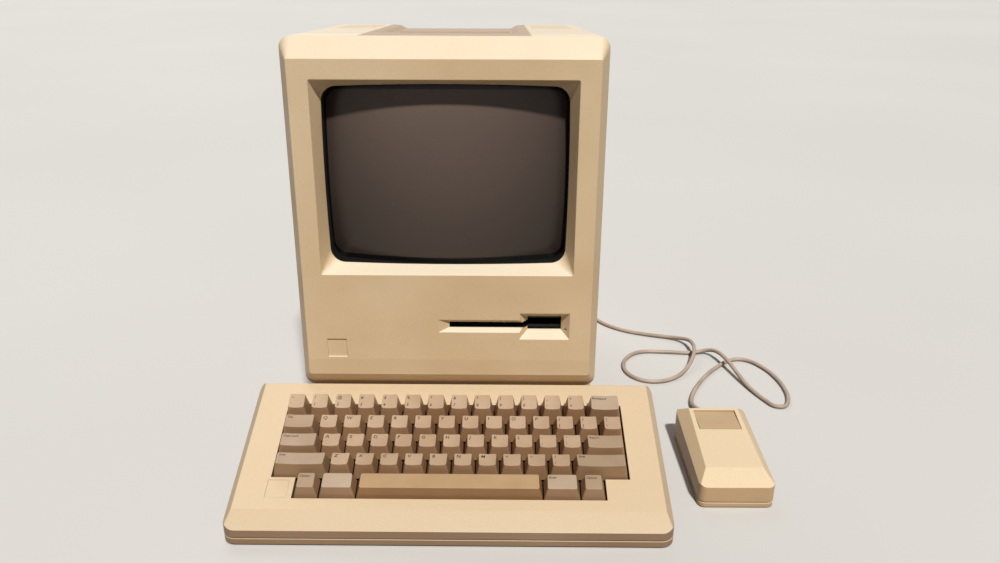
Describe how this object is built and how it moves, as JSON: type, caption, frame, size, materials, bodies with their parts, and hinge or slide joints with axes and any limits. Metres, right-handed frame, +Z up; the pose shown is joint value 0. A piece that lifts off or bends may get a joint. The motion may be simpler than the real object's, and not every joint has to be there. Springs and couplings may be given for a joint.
{
  "type": "home computer",
  "caption": "Beige all-in-one computer with a built-in screen and disk slot, with its sloping keyboard in front and a one-button mouse on a looped cord.",
  "frame": {"origin": "on the desk under the middle of the set's footprint, measured without the mouse's cord and plug", "axes": "+X to the right as seen from the user's seat, +Y from the user towards the computer's back, +Z up"},
  "size_m": [0.4895, 0.4888, 0.3456],
  "materials": {
    "case_front": "fine textured beige plastic, slightly yellowed",
    "case_rear": "fine textured beige plastic, slightly yellowed",
    "keyboard_case": "fine textured beige plastic",
    "mouse_case": "fine textured beige plastic",
    "key_plastic": "satin tan-grey plastic with dark printed characters",
    "button_plastic": "satin tan-grey plastic",
    "cord_rubber": "satin beige jacket",
    "screen_glass": "dark picture-tube glass with a sheen",
    "band_steel": "plain steel strip",
    "frame_steel": "bent plated sheet",
    "steel": "turned steel",
    "dark_plastic": "black plastic",
    "dark_rubber": "black rubber",
    "board_green": "green circuit board",
    "chip_black": "black packages",
    "winding": "copper windings on ferrite",
    "port_metal": "plated shells",
    "cell": "dark metal can",
    "knob_plastic": "ribbed tan plastic"
  },
  "bodies": {
    "computer": {"analog_board": "board_green", "analog_parts": "chip_black", "anode_lead": "dark_rubber", "battery": "cell", "brightness_pot": "chip_black", "chassis_frame": "frame_steel", "computer_feet": "dark_rubber", "computer_screws": "steel", "crt_band": "band_steel", "crt_tube": "screen_glass", "deflection_yoke": "winding", "drive_frame": "frame_steel", "drive_stepper_motor": "frame_steel", "front_bezel": "case_front", "keyboard_jack": "dark_plastic", "logic_board": "board_green", "logic_chips": "chip_black", "mouse_board": "board_green", "mouse_bottom_shell": "mouse_case", "mouse_cord": "cord_rubber", "mouse_cord_relief": "cord_rubber", "mouse_plug": "cord_rubber", "mouse_top_shell": "mouse_case", "neck_board": "board_green", "power_entry_frame": "dark_plastic", "rear_case": "case_rear", "rear_ports": "port_metal", "speaker": "dark_plastic"},
    "battery_door": {"battery_door": "case_rear"},
    "power_rocker": {"power_switch": "dark_plastic"},
    "brightness_wheel": {"brightness_knob": "knob_plastic"},
    "spindle": {"drive_spindle": "steel"},
    "carriage": {"drive_head_carriage": "port_metal"},
    "lead_screw": {"drive_lead_screw": "steel"},
    "button": {"mouse_button": "button_plastic"},
    "ball": {"mouse_ball": "dark_rubber"},
    "ball_ring": {"mouse_ball_ring": "dark_plastic"},
    "roller_x": {"mouse_roller_x": "steel"},
    "roller_y": {"mouse_roller_y": "steel"},
    "keyboard": {"keyboard_top_case": "keyboard_case", "keyboard_bottom_case": "keyboard_case", "keyboard_feet": "dark_rubber", "keyboard_plate": "frame_steel", "key_switches": "dark_plastic", "keyboard_board": "board_green", "keyboard_socket": "dark_plastic"},
    "key_backspace_body": {"key_backspace": "key_plastic"},
    "key_tab_body": {"key_tab": "key_plastic"},
    "key_caps_lock_body": {"key_caps_lock": "key_plastic"},
    "key_return_body": {"key_return": "key_plastic"},
    "key_shift_left_body": {"key_shift_left": "key_plastic"},
    "key_shift_right_body": {"key_shift_right": "key_plastic"},
    "key_command_body": {"key_command": "key_plastic"},
    "key_space_body": {"key_space": "key_plastic"},
    "key_enter_body": {"key_enter": "key_plastic"},
    "keys_option_body": {"keys_option": "key_plastic"},
    "keys_bottom_row_body": {"keys_bottom_row": "key_plastic"},
    "keys_home_row_body": {"keys_home_row": "key_plastic"},
    "keys_top_row_body": {"keys_top_row": "key_plastic"},
    "keys_number_row_body": {"keys_number_row": "key_plastic"}
  },
  "joints": [
    {"name": "battery_door_hinge", "type": "hinge", "parent": "computer", "child": "battery_door", "pos_m": [-0.12883, 0.20262, 0.0922], "axis": [-1, 0, 0], "range_deg": [0, 90]},
    {"name": "power_rocker_hinge", "type": "hinge", "parent": "computer", "child": "power_rocker", "pos_m": [-0.14083, 0.20182, 0.072], "axis": [-1, 0, 0], "range_deg": [0, 16]},
    {"name": "brightness_turn", "type": "hinge", "parent": "computer", "child": "brightness_wheel", "pos_m": [-0.13383, -0.03268, 0.036], "axis": [0, 1, 0], "range_deg": [0, 270]},
    {"name": "spindle_turn", "type": "hinge", "parent": "computer", "child": "spindle", "pos_m": [-0.00133, -0.01727, 0.08846], "axis": [0, 0, 1], "continuous": true},
    {"name": "lead_screw_turn", "type": "hinge", "parent": "computer", "child": "lead_screw", "pos_m": [0.02467, 0.02373, 0.10046], "axis": [0, -1, 0], "range_deg": [0, 4080]},
    {"name": "head_carriage_slide", "type": "slide", "parent": "computer", "child": "carriage", "axis": [0, 1, 0], "range_m": [0, 0.034]},
    {"name": "keyboard_slide", "type": "slide", "parent": "computer", "child": "keyboard", "axis": [0, -1, 0], "range_m": [0, 0.12]},
    {"name": "mouse_button_press", "type": "hinge", "parent": "computer", "child": "button", "pos_m": [0.1813, -0.08808, 0.02908], "axis": [-1, -0.0052, 0], "range_deg": [0, 2.5], "stiffness_Nm_per_rad": 0.15, "springref_deg": -1.72},
    {"name": "mouse_ball_roll", "type": "hinge", "parent": "computer", "child": "ball", "pos_m": [0.18143, -0.11108, 0.0125], "axis": [1, 0.0052, 0], "continuous": true},
    {"name": "mouse_roller_y_turn", "type": "hinge", "parent": "computer", "child": "roller_y", "pos_m": [0.18135, -0.09628, 0.0125], "axis": [1, 0.0052, 0], "continuous": true},
    {"name": "mouse_roller_x_turn", "type": "hinge", "parent": "computer", "child": "roller_x", "pos_m": [0.16668, -0.12215, 0.0125], "axis": [-0.0052, 1, 0], "continuous": true},
    {"name": "mouse_ball_ring_twist", "type": "hinge", "parent": "computer", "child": "ball_ring", "pos_m": [0.18143, -0.11108, 0.0008], "axis": [0, 0, 1], "range_deg": [0, 45]},
    {"name": "key_backspace_press", "type": "slide", "parent": "keyboard", "child": "key_backspace_body", "axis": [0, 0.2924, -0.9563], "range_m": [0, 0.0038], "stiffness_N_per_m": 150, "springref_m": -0.001},
    {"name": "key_tab_press", "type": "slide", "parent": "keyboard", "child": "key_tab_body", "axis": [0, 0.2924, -0.9563], "range_m": [0, 0.0038], "stiffness_N_per_m": 150, "springref_m": -0.001},
    {"name": "key_caps_lock_press", "type": "slide", "parent": "keyboard", "child": "key_caps_lock_body", "axis": [0, 0.2924, -0.9563], "range_m": [0, 0.0038], "stiffness_N_per_m": 150, "springref_m": -0.001},
    {"name": "key_return_press", "type": "slide", "parent": "keyboard", "child": "key_return_body", "axis": [0, 0.2924, -0.9563], "range_m": [0, 0.0038], "stiffness_N_per_m": 150, "springref_m": -0.001},
    {"name": "key_shift_left_press", "type": "slide", "parent": "keyboard", "child": "key_shift_left_body", "axis": [0, 0.2924, -0.9563], "range_m": [0, 0.0038], "stiffness_N_per_m": 150, "springref_m": -0.001},
    {"name": "key_shift_right_press", "type": "slide", "parent": "keyboard", "child": "key_shift_right_body", "axis": [0, 0.2924, -0.9563], "range_m": [0, 0.0038], "stiffness_N_per_m": 150, "springref_m": -0.001},
    {"name": "key_command_press", "type": "slide", "parent": "keyboard", "child": "key_command_body", "axis": [0, 0.2924, -0.9563], "range_m": [0, 0.0038], "stiffness_N_per_m": 150, "springref_m": -0.001},
    {"name": "key_space_press", "type": "slide", "parent": "keyboard", "child": "key_space_body", "axis": [0, 0.2924, -0.9563], "range_m": [0, 0.0038], "stiffness_N_per_m": 150, "springref_m": -0.001},
    {"name": "key_enter_press", "type": "slide", "parent": "keyboard", "child": "key_enter_body", "axis": [0, 0.2924, -0.9563], "range_m": [0, 0.0038], "stiffness_N_per_m": 150, "springref_m": -0.001},
    {"name": "keys_option_press", "type": "slide", "parent": "keyboard", "child": "keys_option_body", "axis": [0, 0.2924, -0.9563], "range_m": [0, 0.0038], "stiffness_N_per_m": 300, "springref_m": -0.001},
    {"name": "keys_bottom_row_press", "type": "slide", "parent": "keyboard", "child": "keys_bottom_row_body", "axis": [0, 0.2924, -0.9563], "range_m": [0, 0.0038], "stiffness_N_per_m": 1500, "springref_m": -0.001},
    {"name": "keys_home_row_press", "type": "slide", "parent": "keyboard", "child": "keys_home_row_body", "axis": [0, 0.2924, -0.9563], "range_m": [0, 0.0038], "stiffness_N_per_m": 1650, "springref_m": -0.001},
    {"name": "keys_top_row_press", "type": "slide", "parent": "keyboard", "child": "keys_top_row_body", "axis": [0, 0.2924, -0.9563], "range_m": [0, 0.0038], "stiffness_N_per_m": 1950, "springref_m": -0.001},
    {"name": "keys_number_row_press", "type": "slide", "parent": "keyboard", "child": "keys_number_row_body", "axis": [0, 0.2924, -0.9563], "range_m": [0, 0.0038], "stiffness_N_per_m": 1950, "springref_m": -0.001}
  ],
  "couplings": [
    {"joint": "lead_screw_turn", "follows": "head_carriage_slide", "rad_per_m": 2094.4},
    {"joint": "mouse_roller_y_turn", "follows": "mouse_ball_roll", "ratio": -6.25}
  ]
}
